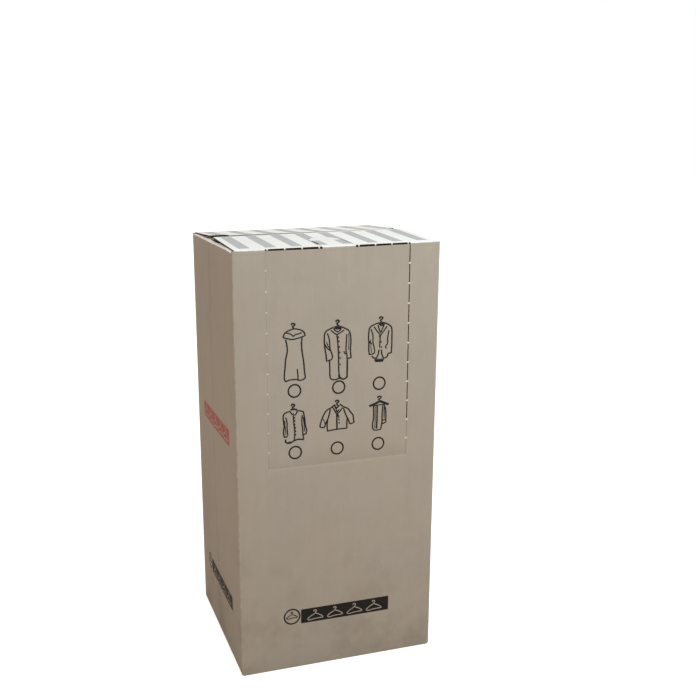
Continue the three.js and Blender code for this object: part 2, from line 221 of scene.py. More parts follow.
def carton_face_kind(centre, normal):
    """Which paper shows: the printed outside, the bare white outside, the brown inside, or a raw cut."""
    x, y, z = abs(centre.x), abs(centre.y), centre.z
    half_x, half_y = WIDTH / 2, DEPTH / 2
    corner = math.hypot(x - half_x + FOLD_RADIUS, y - half_y + FOLD_RADIUS)
    top, bottom = SIDE_FLAP_TOP, BOARD + LAYER_GAP
    on_front_or_rear = y > half_y - 0.0007 and abs(normal.x) < 0.1 and abs(normal.z) < 0.9
    if abs(x - half_x) < NEAR or on_front_or_rear:
        return "print"
    if x > half_x - FOLD_RADIUS and y > half_y - FOLD_RADIUS and abs(normal.z) < 0.1:
        return "print" if corner > FOLD_RADIUS - 0.0005 else "inside"
    if z > HEIGHT - 0.03 and x > half_x - FOLD_RADIUS - 0.0002 and abs(normal.y) < 0.1:
        if normal.x * centre.x > 0 and 0.05 < abs(normal.x) < 0.999:
            return "print" if abs(normal.z) < 0.35 else "white"
        if normal.x * centre.x < 0 and 0.05 < abs(normal.x) < 0.999:
            return "inside"
    if (abs(x - half_x + BOARD) < NEAR or abs(y - half_y + BOARD) < NEAR) and abs(normal.z) < 0.1:
        return "inside"
    if z > HEIGHT - 0.03:
        if abs(z - top) < NEAR:
            return "white"
        if abs(z - top + BOARD) < NEAR:
            return "inside"
    if z < 0.02:
        if abs(z) < NEAR or abs(z - bottom) < NEAR and normal.z < 0:
            return "white"
        if (abs(z - BOARD) < NEAR or abs(z - bottom - BOARD) < NEAR) and normal.z > 0:
            return "inside"
        if 0.05 < abs(normal.z) < 0.999:
            return ("white" if abs(normal.z) > 0.8 else "print") if normal.z < 0 else "inside"
    return "raw"


carton = copy_of_node("carton", "carton_sheet")
slot_z = SIDE_FLAP_TOP - FOLD_RADIUS
flap_z = SIDE_FLAP_TOP - BOARD / 2
door_top_z = HEIGHT - BOARD - DOOR_CUT_DROP
across = []
beside = []
for side in (1, -1):
    wall_x = side * (WIDTH / 2 - BOARD / 2)
    across.append(((wall_x, 0, slot_z), (0, 1, 0), (0, 0, -1), RAIL_SLOT))
    across.append(((side * (WIDTH / 2 - SIDE_FLAP), 0, flap_z), (0, 1, 0), (side, 0, 0), 0.490))
    across.append(((side * (WIDTH / 2 - SLOT_REACH), 0, flap_z), (0, 1, 0), (-side, 0, 0), RAIL_SLOT - 0.002))
    for end in (1, -1):
        beside.append(((side * 0.268, end * RAIL_SLOT / 2, flap_z), (1, 0, 0), (0, end, 0), 0.046))
        taper = end * side * 0.005 / 0.148
        beside.append(((side * 0.222, end * 0.24905, flap_z), (1, taper, 0), (0, -end, 0), 0.138))
        beside.append(((side * 0.295, end * 0.130, BOARD / 2), (0, 1, 0), (-side, 0, 0), 0.244))
    door_x = side * (TONGUE_HALF + DOOR_HALF) / 2
    across.append(((door_x, -DEPTH / 2 + BOARD / 2, door_top_z), (1, 0, 0), (0, 0, -1), 0.160))
    across.append(((side * 0.188, -0.001, BOARD / 2), (1, 0, 0), (0, -1, 0), 0.212))
    across.append(((side * 0.188, 0.001, BOARD / 2), (1, 0, 0), (0, 1, 0), 0.210))
carton_fluting = open_edges(carton, across, beside, "carton_fluting")
for step in range(1, 10):
    slice_at(carton, (WIDTH * (step / 10 - 0.5), 0, 0), (1, 0, 0))
for step in range(1, 8):
    slice_at(carton, (0, DEPTH * (step / 8 - 0.5), 0), (0, 1, 0))
for step in range(1, 20):
    slice_at(carton, (0, 0, HEIGHT * step / 20), (0, 0, 1))
carton_papers = [carton_face_kind(face.center, face.normal) for face in carton.data.polygons]
belly_out(carton)
belly_out(carton_fluting)
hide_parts("carton")


def add_node(tree, kind, sockets=None, **settings):
    made = tree.nodes.new(kind)
    for name, value in settings.items():
        setattr(made, name, value)
    for name, value in (sockets or {}).items():
        if isinstance(value, bpy.types.NodeSocket):
            tree.links.new(value, made.inputs[name])
        else:
            made.inputs[name].default_value = value
    return made


def maths(tree, operation, first, second=0.0, third=0.0):
    made = add_node(tree, "ShaderNodeMath", operation=operation)
    for socket, value in zip(made.inputs, (first, second, third)):
        if isinstance(value, bpy.types.NodeSocket):
            tree.links.new(value, socket)
        else:
            socket.default_value = value
    return made.outputs[0]


def mixed(tree, factor, first, second, blend="MIX"):
    made = add_node(tree, "ShaderNodeMix", data_type="RGBA", blend_type=blend)
    for socket, value in zip((made.inputs[0], made.inputs[6], made.inputs[7]), (factor, first, second)):
        if isinstance(value, bpy.types.NodeSocket):
            tree.links.new(value, socket)
        else:
            socket.default_value = value
    return made.outputs[2]


def smooth(tree, value, low, high, out_low=0.0, out_high=1.0):
    made = add_node(tree, "ShaderNodeMapRange", interpolation_type="SMOOTHSTEP")
    for socket, number in zip(made.inputs, (value, low, high, out_low, out_high)):
        if isinstance(number, bpy.types.NodeSocket):
            tree.links.new(number, socket)
        else:
            socket.default_value = number
    return made.outputs[0]


def noise(tree, vector, scale, detail=2.0, roughness=0.5, stretch=(1, 1, 1)):
    place = add_node(tree, "ShaderNodeMapping", sockets={"Vector": vector, "Scale": stretch})
    sockets = {"Vector": place.outputs[0], "Scale": scale, "Detail": detail, "Roughness": roughness}
    return add_node(tree, "ShaderNodeTexNoise", sockets=sockets).outputs["Fac"]


def srgb(red, green, blue):
    """A colour as it is seen on a screen, from 0 to 255, as Blender's linear values."""
    linear = [((c / 255 + 0.055) / 1.055) ** 2.4 if c > 10 else c / 3294.6 for c in (red, green, blue)]
    return (*linear, 1.0)


def paper_group():
    """Shared paper look: cloudy tone, fibres, faint flute lines, and the height that they raise."""
    group = bpy.data.node_groups.new("corrugated_paper", "ShaderNodeTree")
    face = group.interface
    face.new_socket("Color", in_out="INPUT", socket_type="NodeSocketColor")
    face.new_socket("Flutes", in_out="INPUT", socket_type="NodeSocketFloat")
    face.new_socket("Color", in_out="OUTPUT", socket_type="NodeSocketColor")
    face.new_socket("Height", in_out="OUTPUT", socket_type="NodeSocketFloat")
    start = add_node(group, "NodeGroupInput")
    end = add_node(group, "NodeGroupOutput")
    spot = add_node(group, "ShaderNodeTexCoord").outputs["Object"]
    parts = add_node(group, "ShaderNodeSeparateXYZ", sockets={"Vector": spot})
    across_flutes = maths(group, "ADD", parts.outputs["X"], parts.outputs["Y"])
    wander = noise(group, spot, 3.0, 1.0)
    phase = maths(group, "MULTIPLY_ADD", across_flutes, 2 * math.pi / FLUTE_PITCH, wander)
    flute = maths(group, "SINE", phase)
    cloud = noise(group, spot, 2.4, 3.0, 0.55)
    patch = noise(group, spot, 34.0, 4.0, 0.6, (1, 1, 0.5))
    streak = noise(group, spot, 60.0, 3.0, 0.6, (1, 1, 0.04))
    fibre = noise(group, spot, 900.0, 2.0, 0.6, (1, 1, 0.45))
    tone = maths(group, "MULTIPLY_ADD", maths(group, "SUBTRACT", cloud, 0.5), 0.16, 1.0)
    tone = maths(group, "MULTIPLY_ADD", maths(group, "SUBTRACT", patch, 0.5), 0.10, tone)
    tone = maths(group, "MULTIPLY_ADD", maths(group, "SUBTRACT", streak, 0.5), 0.07, tone)
    tone = maths(group, "MULTIPLY_ADD", maths(group, "SUBTRACT", fibre, 0.5), 0.12, tone)
    strength = maths(group, "MULTIPLY", start.outputs["Flutes"], 0.005)
    tone = maths(group, "MULTIPLY_ADD", flute, strength, tone)
    grey = add_node(group, "ShaderNodeCombineColor", sockets={"Red": tone, "Green": tone, "Blue": tone})
    colour = mixed(group, 1.0, start.outputs["Color"], grey.outputs[0], "MULTIPLY")
    pink = noise(group, spot, 5.0, 2.0, 0.5)
    colour = mixed(group, smooth(group, pink, 0.35, 0.7, 0.0, 0.10), colour, srgb(176, 150, 132))
    raised = maths(group, "MULTIPLY", flute, maths(group, "MULTIPLY", start.outputs["Flutes"], 0.3))
    raised = maths(group, "MULTIPLY_ADD", fibre, 0.55, raised)
    raised = maths(group, "MULTIPLY_ADD", patch, 0.9, raised)
    group.links.new(colour, end.inputs["Color"])
    group.links.new(raised, end.inputs["Height"])
    return group


corrugated_paper = paper_group()


def paper_material(name, colour, flutes, rough, dress=None):
    """A paper finish on the shared group. dress may change the colour and height on the way."""
    made = bpy.data.materials.new(name)
    made.use_nodes = True
    tree = made.node_tree
    shader = tree.nodes["Principled BSDF"]
    group = add_node(tree, "ShaderNodeGroup", node_tree=corrugated_paper)
    group.inputs["Flutes"].default_value = flutes
    group.inputs["Color"].default_value = colour
    tint, height = group.outputs["Color"], group.outputs["Height"]
    if dress:
        tint, height = dress(tree, tint, height)
    bump = add_node(tree, "ShaderNodeBump", sockets={"Strength": 0.35, "Distance": 0.0002, "Height": height})
    tree.links.new(tint, shader.inputs["Base Color"])
    tree.links.new(bump.outputs[0], shader.inputs["Normal"])
    shader.inputs["Roughness"].default_value = rough
    shader.inputs["Specular IOR Level"].default_value = 0.25
    return made


def worn_print(tree, tint, height):
    """Rubbed corners, pale scratches, dirt with painted shade towards the bottom, and a stored crease with
    painted shade along it, on the printed walls.
    """
    spot = add_node(tree, "ShaderNodeTexCoord").outputs["Object"]
    parts = add_node(tree, "ShaderNodeSeparateXYZ", sockets={"Vector": spot})
    x, y, z = (parts.outputs[axis] for axis in "XYZ")
    from_x = maths(tree, "SUBTRACT", WIDTH / 2, maths(tree, "ABSOLUTE", x))
    from_y = maths(tree, "SUBTRACT", DEPTH / 2, maths(tree, "ABSOLUTE", y))
    from_corner = maths(tree, "ADD", maths(tree, "ABSOLUTE", from_x), maths(tree, "ABSOLUTE", from_y))
    rub = smooth(tree, from_corner, 0.0, 0.007, 1.0, 0.0)
    foot = smooth(tree, z, 0.0, 0.006, 1.0, 0.0)
    top = smooth(tree, z, 1.246, 1.2535, 0.0, 0.8)
    edge = maths(tree, "MAXIMUM", maths(tree, "MAXIMUM", rub, foot), top)
    ragged = noise(tree, spot, 120.0, 4.0, 0.7, (1, 1, 0.35))
    worn = maths(tree, "MULTIPLY", edge, smooth(tree, ragged, 0.42, 0.62))
    tint = mixed(tree, maths(tree, "MULTIPLY", worn, 0.55), tint, srgb(205, 198, 186))
    scratch = noise(tree, spot, 26.0, 3.0, 0.65, (3.2, 3.2, 0.35))
    thin = smooth(tree, scratch, 0.735, 0.76)
    tint = mixed(tree, maths(tree, "MULTIPLY", thin, 0.35), tint, srgb(206, 200, 190))
    # Dirt in patches, more of it low down, plus an even darkening towards the bottom that is painted shade
    # for light falling from above.
    soil = noise(tree, spot, 9.0, 4.0, 0.6)
    low = smooth(tree, z, 0.0, 0.5, 1.0, 0.0)
    share = maths(tree, "MULTIPLY_ADD", low, 0.22, 0.05)
    soil_and_painted_shade = maths(tree, "MULTIPLY", smooth(tree, soil, 0.4, 0.75), share)
    soil_and_painted_shade = maths(tree, "MULTIPLY_ADD", low, 0.09, soil_and_painted_shade)
    tint = mixed(tree, soil_and_painted_shade, tint, srgb(96, 84, 72))
    # The stored crease on the side walls: a dent in the height, and a dark band along it that is painted
    # shade.
    crease = smooth(tree, maths(tree, "ABSOLUTE", maths(tree, "SUBTRACT", y, 0.022)), 0.001, 0.009, 1.0, 0.0)
    on_side = smooth(tree, maths(tree, "ABSOLUTE", x), 0.2985, 0.2995)
    crease = maths(tree, "MULTIPLY", crease, on_side)
    broken = smooth(tree, noise(tree, spot, 14.0, 2.0, 0.5, (0, 0, 1)), 0.35, 0.6, 0.25, 1.0)
    crease = maths(tree, "MULTIPLY", crease, broken)
    tint = mixed(tree, maths(tree, "MULTIPLY", crease, 0.22), tint, srgb(84, 72, 60))
    height = maths(tree, "MULTIPLY_ADD", crease, -1.6, height)
    height = maths(tree, "MULTIPLY_ADD", thin, -0.5, height)
    return tint, height


printed_board = paper_material("printed_brown_board", srgb(170, 158, 144), 1.0, 0.62, worn_print)
white_board = paper_material("bare_white_board", srgb(238, 240, 238), 0.8, 0.7)
inside_board = paper_material("plain_brown_board", srgb(180, 156, 126), 1.2, 0.8)
raw_edge = paper_material("raw_cut_edge", srgb(96, 82, 67), 0.0, 0.9)


def paint(piece, materials, kinds):
    """Gives each face its kind's material, and smooths what the folds should smooth."""
    names = list(materials)
    for name in names:
        piece.data.materials.append(materials[name])
    for face, kind in zip(piece.data.polygons, kinds):
        face.material_index = names.index(kind)
    only(piece)
    bpy.ops.object.shade_smooth_by_angle(angle=math.radians(28))


papers = {"print": printed_board, "white": white_board, "inside": inside_board, "raw": raw_edge}
paint(carton, papers, carton_papers)
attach(carton, "carton")
carton_fluting.data.materials.append(raw_edge)
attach(carton_fluting, "carton")


# Torn bits at the door's bridges and the liner at the rail slots.
# Each little bridge of the perforation has pulled up a speck of the pale liner. Over each rail
# slot a narrow lip of liner is left, which follows the side flap's fold past the rail's end.

NICK_PITCH = 0.0567
LIP_RADIUS = FOLD_RADIUS + 0.00015
LIP_STEP = 0.0028
torn = []
for row in range(1, 11):
    for side, width, height in ((-1, 0.0023, 0.0019), (1, 0.0042, 0.0025)):
        bpy.ops.mesh.primitive_ico_sphere_add(subdivisions=2, radius=1)
        speck = bpy.context.object
        for vertex in speck.data.vertices:
            x, y, z = vertex.co
            wobble = 1 + 0.25 * math.sin(9 * x + 5 * row + side) * math.cos(7 * z + 3 * row)
            vertex.co = (x * width * wobble, y * 0.00025, z * height * wobble)
        x = side * DOOR_HALF + 0.0004 * math.sin(row * 2.3)
        speck.data.transform(Matrix.Translation((x, -DEPTH / 2, HEIGHT - NICK_PITCH * row)))
        torn.append(speck)
torn = joined("torn_bridges", torn)
belly_out(torn)
lips = []
for side in (1, -1):
    bpy.ops.mesh.primitive_grid_add(x_subdivisions=1, y_subdivisions=8, size=1)
    lip = bpy.context.object
    for vertex in lip.data.vertices:
        step = round((vertex.co.y + 0.5) * 8)
        turn = math.radians(min(90, 15 * step))
        out = LIP_RADIUS * math.cos(turn) - LIP_STEP * max(0, step - 6)
        x = side * (WIDTH / 2 - FOLD_RADIUS + out)
        vertex.co = (x, vertex.co.x * (RAIL_SLOT - LAYER_GAP), slot_z + LIP_RADIUS * math.sin(turn))
    lips.append(lip)
lips = joined("slot_lips", lips)
belly_out(lips)
paper = lips.modifiers.new("paper", "SOLIDIFY")
paper.thickness = 0.0003
paper.offset = 0
apply_modifiers(lips)
torn_paper = paper_material("torn_liner", srgb(216, 208, 194), 0.0, 0.85)
torn.data.materials.append(torn_paper)
lips.data.materials.append(printed_board)
lips.data.materials.append(white_board)
for face in lips.data.polygons:
    face.material_index = 1 if face.center.z > slot_z + 0.0043 else 0
for piece in (torn, lips):
    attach(piece, "carton")


# Main top flaps.
# Two panels of the same sheet that close the top and meet in the middle. Their outside is white
# with pale grey bars; the front one carries the door's tongue, cut on three sides.

FLAP_TILT = math.radians(2.4)
SPREAD = 0.005
BAR_PITCH = 0.0735
BAR_WIDTH = 0.031
ARCH_FOOT = -0.1505
ARCH_RISE = 0.060
FINGER_GAP_END = -0.2130
SEAM_BAND = 0.008


def barred_print(tree, tint, height):
    """Grey bars along the flap, clear of its edges, and none on the round end of the tongue."""
    spot = add_node(tree, "ShaderNodeTexCoord").outputs["Object"]
    parts = add_node(tree, "ShaderNodeSeparateXYZ", sockets={"Vector": spot})
    x, y = parts.outputs["X"], parts.outputs["Y"]
    rough_edge = maths(tree, "MULTIPLY_ADD", noise(tree, spot, 420.0, 2.0), 0.0016, -0.0008)
    shifted = maths(tree, "ADD", maths(tree, "ADD", x, 4 * BAR_PITCH), rough_edge)
    place = maths(tree, "MODULO", shifted, BAR_PITCH)
    off = maths(tree, "ABSOLUTE", maths(tree, "SUBTRACT", place, BAR_PITCH / 2))
    bar = smooth(tree, off, BAR_WIDTH / 2 - 0.0004, BAR_WIDTH / 2 + 0.0004, 1.0, 0.0)
    reach = maths(tree, "ABSOLUTE", y)
    near_seam = smooth(tree, reach, 0.0095, 0.0105)
    near_fold = smooth(tree, reach, 0.2295, 0.2305, 1.0, 0.0)
    bar = maths(tree, "MULTIPLY", bar, maths(tree, "MULTIPLY", near_seam, near_fold))
    arch_x = maths(tree, "DIVIDE", x, TONGUE_HALF)
    arch_y = maths(tree, "DIVIDE", maths(tree, "SUBTRACT", y, ARCH_FOOT), ARCH_RISE)
    arch = maths(tree, "MULTIPLY_ADD", arch_x, arch_x, maths(tree, "MULTIPLY", arch_y, arch_y))
    past_foot = smooth(tree, y, ARCH_FOOT - 0.001, ARCH_FOOT + 0.001)
    dome = maths(tree, "MULTIPLY", smooth(tree, arch, 0.99, 1.01, 1.0, 0.0), past_foot)
    bar = maths(tree, "MULTIPLY", bar, maths(tree, "SUBTRACT", 1.0, dome))
    mottle = smooth(tree, noise(tree, spot, 700.0, 2.0, 0.6), 0.3, 0.7, 0.86, 1.0)
    tint = mixed(tree, maths(tree, "MULTIPLY", bar, mottle), tint, srgb(176, 181, 184))
    from_end = smooth(tree, reach, 0.0, 0.006, 1.0, 0.0)
    soil = smooth(tree, noise(tree, spot, 60.0, 4.0, 0.65), 0.45, 0.7, 0.0, 0.35)
    tint = mixed(tree, maths(tree, "MULTIPLY", from_end, soil), tint, srgb(150, 138, 120))
    return tint, height


barred_board = paper_material("white_board_grey_bars", srgb(240, 242, 241), 0.8, 0.66, barred_print)
# The flaps' cut edges along the seam: the raw cut edge made much lighter, which is painted light where the
# seam is lit.
seam_edge_painted_light = paper_material("seam_cut_edge_painted_light", srgb(186, 186, 180), 0.0, 0.85)


def flap_face_kind(centre, normal):
    if abs(centre.z - HEIGHT) < NEAR or 0.3 < normal.z < 0.999:
        return "white"
    if abs(centre.z - HEIGHT + BOARD) < NEAR:
        return "inside"
    # Cut edges along the seam get the lighter seam edge, which is painted light.
    return "seam" if abs(centre.y) < SEAM_BAND else "raw"


def sprung_open(co):
    """The tongue's own edge, drawn in where its cuts gape: at the finger gap, and on the right."""
    up_arch = max(0, co.y - ARCH_FOOT) / ARCH_RISE
    just_inside = 0.8 < (co.x / TONGUE_HALF) ** 2 + up_arch ** 2 < 0.98
    if co.y > FINGER_GAP_END and just_inside:
        if co.x > 0:
            share = co.x / TONGUE_HALF
            co.x -= 0.0018 * share
            co.y -= 0.0010 * share * up_arch
        elif -0.0441 < co.x and co.y < -0.165:
            co.x += 0.0035 if co.y < -0.2 else 0.002


def make_flap(name, node, facing, body, across, beside, lift):
    """facing is -1 for the flap on the door's side. It is dressed lying flat, then tilted back.

    lift is how far the free edge has curled up at its left and right end, or down if below zero."""
    flap = copy_of_node(node, name + "_sheet")
    hinge = Matrix.Translation((0, facing * DEPTH / 2, HEIGHT))
    flat = hinge @ Matrix.Rotation(facing * FLAP_TILT, 4, "X") @ hinge.inverted()
    flap.data.transform(flat)
    fluting = open_edges(flap, across, beside, name + "_fluting")
    for step in range(1, 6):
        slice_at(flap, (0, facing * DEPTH / 2 * step / 6, 0), (0, 1, 0))
    kinds = [flap_face_kind(face.center, face.normal) for face in flap.data.polygons]
    for piece in (flap, fluting):
        for vertex in piece.data.vertices:
            share = 1 - abs(vertex.co.y) / (DEPTH / 2)
            rightward = vertex.co.x / WIDTH + 0.5
            left_lift, right_lift = lift
            vertex.co.z += (left_lift + (right_lift - left_lift) * rightward) * share * share
            if abs(vertex.co.x) > 0.275:
                vertex.co.x += math.copysign(SPREAD * share, vertex.co.x)
            elif facing < 0:
                sprung_open(vertex.co)
    flap.data.transform(flat.inverted())
    fluting.data.transform(flat.inverted())
    finishes = {"white": barred_board, "inside": inside_board, "raw": raw_edge, "seam": seam_edge_painted_light}
    paint(flap, finishes, kinds)
    fluting.data.materials.append(raw_edge)
    fluting.data.materials.append(seam_edge_painted_light)
    # Fluting along the seam takes the lighter seam edge, which is painted light.
    for face in fluting.data.polygons:
        face.material_index = 1 if abs(face.center.y) < SEAM_BAND else 0
    for piece in (flap, fluting):
        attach(piece, body)
    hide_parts(node)


mid = HEIGHT - BOARD / 2
side_slope = 0.006 / 0.2575
front_across = [((0, -0.001, mid), (1, 0, 0), (0, -1, 0), 0.568)]
front_beside = [((side * 0.28905, -0.131, mid), (side * -side_slope, 1, 0), (-side, 0, 0), 0.236)
                for side in (1, -1)]
rear_across = [
    ((0.013, 0.001, mid), (1, 0, 0), (0, 1, 0), 0.506),
    ((-0.2652, 0.048, mid), (1, 0, 0), (0, 1, 0), 0.042),
    ((0.2780, 0.048, mid), (1, 0, 0), (0, 1, 0), 0.016),
]
rear_beside = [
    ((-0.242, 0.0245, mid), (0, 1, 0), (1, 0, 0), 0.043),
    ((0.268, 0.0245, mid), (0, 1, 0), (-1, 0, 0), 0.043),
]
rear_beside += [((side * 0.28955, 0.1525, mid), (side * side_slope, 1, 0), (-side, 0, 0), 0.196)
                for side in (1, -1)]
front_across += [((side * 0.128, -0.2555, mid), (1, 0, 0), (0, 1, 0), 0.160) for side in (1, -1)]
make_flap("front_flap", "front_top_flap", -1, "front_flap", front_across, front_beside, (-0.0008, 0.0008))
make_flap("rear_flap", "rear_top_flap", 1, "rear_flap", rear_across, rear_beside, (0.0022, 0.0006))


# Bends at the main flaps' creases.
# Where the sheet is whole, its two papers run from the wall round the crease into the flap. They
# are the thin skins here, and follow the flap's tilt. The front one is cut along the door.

NICK_HALF = 0.0018
CREASE_RADIUS = 0.003
SKIN_RADIUS = CREASE_RADIUS + 0.0001


def skin(path, left, right, name):
    """A strip of paper across the carton from left to right, along a path of (y, z) places."""
    bpy.ops.mesh.primitive_grid_add(x_subdivisions=max(1, round((right - left) / 0.05)),
                                    y_subdivisions=len(path) - 1, size=1)
    strip = bpy.context.object
    for vertex in strip.data.vertices:
        y, z = path[round((vertex.co.y + 0.5) * (len(path) - 1))]
        vertex.co = (left + (vertex.co.x + 0.5) * (right - left), y, z)
    paper = strip.modifiers.new("paper", "SOLIDIFY")
    paper.thickness = 0.00016
    paper.offset = 0
    apply_modifiers(strip)
    strip.name = name
    return strip


def on_flap(y, z):
    """Where a place (y, z) on the front flap goes when the flat flap is tilted up."""
    turned = Matrix.Rotation(FLAP_TILT, 2) @ Vector((y + DEPTH / 2, z - HEIGHT))
    return turned.x - DEPTH / 2, turned.y + HEIGHT


outer_y = -DEPTH / 2 - 0.0001
outer_path = [(outer_y, HEIGHT - 0.012), (outer_y, HEIGHT - 0.007), (outer_y, HEIGHT - CREASE_RADIUS)]
for step in range(1, 6):
    turn = math.radians(90 * step / 5)
    y = -DEPTH / 2 + CREASE_RADIUS - SKIN_RADIUS * math.cos(turn)
    z = HEIGHT - CREASE_RADIUS + SKIN_RADIUS * math.sin(turn)
    outer_path.append(on_flap(y, z) if step > 2 else (y, z))
outer_path += [on_flap(-0.2525, HEIGHT + 0.0001), on_flap(-0.249, HEIGHT + 0.0001)]
inner_path = [(-0.2544, HEIGHT - 0.010), (-0.2544, HEIGHT - 0.0068), (-0.2544, HEIGHT - 0.0045),
              on_flap(-0.2535, HEIGHT - 0.0042), on_flap(-0.2515, HEIGHT - 0.0041),
              on_flap(-0.248, HEIGHT - 0.0041)]
whole = {
    "front": [(-0.292, -0.2083), (-TONGUE_HALF, TONGUE_HALF), (0.2091, 0.292)],
    "rear": [(-0.292, 0.292)],
}
for place in (0.057, 0.1054, 0.1538, 0.2022):
    whole["front"] += [(place - NICK_HALF, place + NICK_HALF), (-place - NICK_HALF, -place + NICK_HALF)]
for wall, stretches in whole.items():
    for layer, path in (("outer", outer_path), ("inner", inner_path)):
        strips = [skin(path, left, right, "strip") for left, right in stretches]
        crease = joined(f"{wall}_crease_{layer}", strips)
        start, end = Vector((0, -0.2585, 1.249)), Vector((0, -0.2525, 1.255))
        if wall == "rear":
            crease.data.transform(Matrix.Rotation(math.pi, 4, "Z"))
            start.y, end.y = -start.y, -end.y
        crease.data.materials.append(white_board if layer == "outer" else inside_board)
        if layer == "outer":
            crease.data.materials.append(printed_board)
            for face in crease.data.polygons:
                face.material_index = 1 if face.center.z < HEIGHT - 0.0018 else 0
        only(crease)
        bpy.ops.object.shade_smooth_by_angle(angle=math.radians(40))
        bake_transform(crease)


# Printed drawings.
# Thin dark ink on the door: a garment on a hanger and a ring to tick, six times, drawn with an
# even pen line. Lower down, and on the other walls, a plain bar with hangers left out of it.

INK_LIFT = 0.00013
INK_HALF = 0.00004
PEN = 0.0044
SHARP_BEND = math.radians(52)
hook = [(-2.6, 2.2), (-2.4, 0.5), (-0.4, 0), (1.4, 1.3), (0.4, 2.7), (-1.5, 3.6), (-0.9, 5.1), (0.2, 6.9)]


def drawing(name, lines):
    """Pen lines on a grid, to the right and down from the hanger's hook, as one mesh.

    Each line is its points, its width, and whether it is closed."""
    curve = bpy.data.curves.new(name, "CURVE")
    curve.dimensions = "3D"
    curve.resolution_u = 6
    curve.bevel_resolution = 1
    curve.bevel_depth = 0.5
    curve.use_fill_caps = True
    for points, width, closed in lines:
        spline = curve.splines.new("BEZIER")
        spline.bezier_points.add(len(points) - 1)
        for i, (knot, (u, v)) in enumerate(zip(spline.bezier_points, points)):
            knot.co = (u, 0, -v)
            before = Vector((u, v)) - Vector(points[i - 1])
            after = Vector(points[(i + 1) % len(points)]) - Vector((u, v))
            inner = (closed or 0 < i < len(points) - 1) and before.length > 2 and after.length > 0
            sharp = inner and before.angle(after) > SHARP_BEND
            knot.handle_left_type = knot.handle_right_type = "VECTOR" if sharp else "AUTO"
            knot.radius = width
        spline.use_cyclic_u = closed
    sketch = bpy.data.objects.new(name, curve)
    scene.collection.objects.link(sketch)
    only(sketch)
    bpy.ops.object.convert(target="MESH")
    return bpy.context.object


def ring(radius, width):
    bpy.ops.mesh.primitive_circle_add(vertices=48, radius=radius + width / 2, fill_type="NGON",
                                      rotation=(math.pi / 2, 0, 0))
    disc = bpy.context.object
    bpy.ops.object.transform_apply(rotation=True)
    in_edit_mode(disc)
    bpy.ops.mesh.inset(thickness=width)
    bpy.ops.mesh.delete(type="FACE")
    bpy.ops.object.mode_set(mode="OBJECT")
    return disc


dress = [
    (hook, 1.25, False),
    ([(-12.8, 16.9), (-11.6, 12.9), (-8.6, 9.9), (-3, 7.6), (0.5, 6.8), (6, 8), (10.5, 10.2), (12.6, 13),
      (13.4, 16.2), (9, 17.8), (3, 19.4), (-2, 20), (-7.6, 18.7)], 1.1, True),
    ([(-9, 11.7), (-5, 12.6), (-0.5, 16.4), (1.6, 14.2), (5, 13.6), (9.5, 12.2)], 1, False),
    ([(-10, 19.6), (-8.4, 27.8), (-8.2, 35), (-10, 44), (-11, 55), (-12, 66), (-11.8, 70.4), (-10.4, 73.2),
      (-7, 71.8), (-2, 71.2), (3.4, 71.6), (5.4, 72.6), (10, 72.4), (13.4, 70.2)], 1.1, False),
    ([(9.6, 18.8), (9, 27.2), (9.6, 36.2), (11.4, 49), (12.2, 60), (13.4, 70.2)], 1.1, False),
    ([(3.6, 58), (4.2, 65), (4.6, 72.2)], 1, False),
]
coat = [
    (hook, 1.25, False),
    ([(-4.6, 9.4), (0, 8.3), (4.2, 9.6)], 2.4, False),
    ([(-2.4, 10.2), (2.2, 10.2)], 1.6, False),
    ([(1.2, 68), (1.8, 72.4), (3.4, 73.4)], 1.5, False),
    ([(-14, 26), (-12.4, 31), (-10.4, 34)], 0.7, False),
    ([(12.8, 17), (13.2, 27), (12.6, 38)], 0.6, False),
    ([(-5.5, 8.2), (-10, 10.2), (-14, 12.4), (-16, 15), (-16.8, 23), (-16.2, 33), (-15, 41), (-14, 50),
      (-8, 48.4)], 1.1, False),
    ([(4, 8.6), (9, 11), (13, 14), (14.6, 17.6), (15.6, 28), (15, 38.4), (16, 48), (10.6, 48.6)], 1.1, False),
    ([(-9, 11.9), (-4, 16.2), (-1.4, 17.9), (2, 15.9), (7.4, 12.8)], 1, False),
    ([(-6, 9.8), (-3.6, 12.4), (-1, 14.6), (2, 12.8), (4, 10.6)], 1, False),
    ([(-13, 15.2), (-10.6, 24.2), (-10, 34.2), (-8, 40.4), (-7, 45.6), (-8, 48.4)], 1, False),
    ([(-16.2, 28.8), (-13, 34), (-9.2, 37.4)], 1, False),
    ([(10.4, 18), (10, 28), (9.6, 38), (10.8, 45), (10.6, 48.6)], 1, False),
    ([(7, 39.2), (8.4, 42.4), (10.4, 42)], 1, False),
    ([(-10.5, 50), (-10.2, 61), (-10, 69), (-9, 72.4), (-5, 74.2), (-0.4, 73.4), (2, 72.4)], 1.1, False),
    ([(11.2, 49.2), (11.2, 63), (11, 72), (7, 74.4), (4, 73.4), (2, 71.4)], 1.1, False),
    ([(-1.4, 18), (-1, 22), (-0.2, 32), (0.4, 42), (0.6, 56), (1, 66), (2, 72.4)], 1.1, False),
]
coat_buttons = [(-0.4, 21.2), (0.4, 26.4), (0.8, 33.2), (1.4, 40.2), (1.8, 47.2), (1.8, 55.4)]
